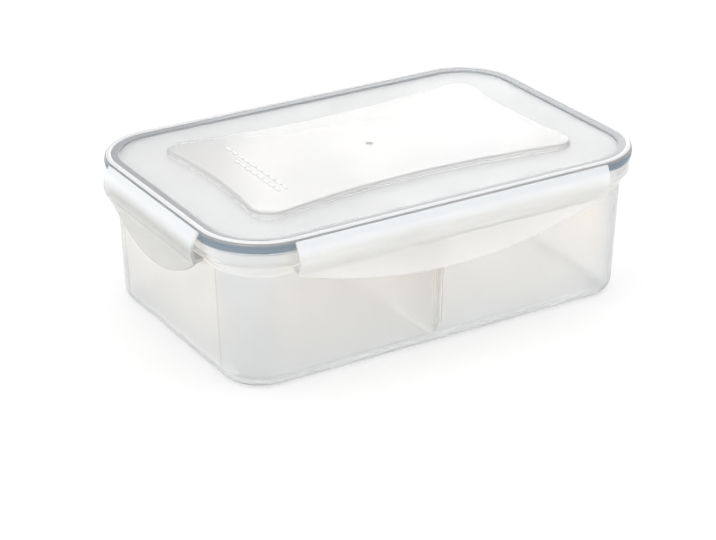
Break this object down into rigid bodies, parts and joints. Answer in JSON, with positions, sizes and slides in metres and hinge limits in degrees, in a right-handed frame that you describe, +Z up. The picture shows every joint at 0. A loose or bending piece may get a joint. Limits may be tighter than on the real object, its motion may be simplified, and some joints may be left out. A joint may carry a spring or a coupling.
{
  "type": "food storage container",
  "caption": "Rectangular translucent food storage box with a clip-down lid, soft seal, hinged locking flaps on every side and a lift-out divider.",
  "frame": {"origin": "centre of the footprint, on the surface that the box stands on", "axes": "+X along the long side, +Y along the short side, +Z up"},
  "size_m": [0.2486, 0.1656, 0.0802],
  "materials": {
    "box": "natural polypropylene, moulded thin and milky-clear, satin",
    "divider": "natural polypropylene, satin",
    "seal": "blue-grey thermoplastic elastomer, smooth",
    "lid": "clarified polypropylene, fine matt field inside a glossy rim",
    "flap": "clarified polypropylene, satin"
  },
  "bodies": {
    "root": {"box": "box", "divider": "divider", "seal": "seal", "lid": "lid"},
    "front_flap": {"flap_front": "flap"},
    "back_flap": {"flap_back": "flap"},
    "left_flap": {"flap_left": "flap"},
    "right_flap": {"flap_right": "flap"}
  },
  "joints": [
    {"name": "front_flap_hinge", "type": "hinge", "parent": "root", "child": "front_flap", "pos_m": [0, -0.07905, 0.0766], "axis": [-1, 0, 0], "range_deg": [0, 115]},
    {"name": "back_flap_hinge", "type": "hinge", "parent": "root", "child": "back_flap", "pos_m": [0, 0.07905, 0.0766], "axis": [1, 0, 0], "range_deg": [0, 115]},
    {"name": "left_flap_hinge", "type": "hinge", "parent": "root", "child": "left_flap", "pos_m": [-0.12055, 0, 0.0766], "axis": [0, 1, 0], "range_deg": [0, 115]},
    {"name": "right_flap_hinge", "type": "hinge", "parent": "root", "child": "right_flap", "pos_m": [0.12055, 0, 0.0766], "axis": [0, -1, 0], "range_deg": [0, 115]}
  ]
}
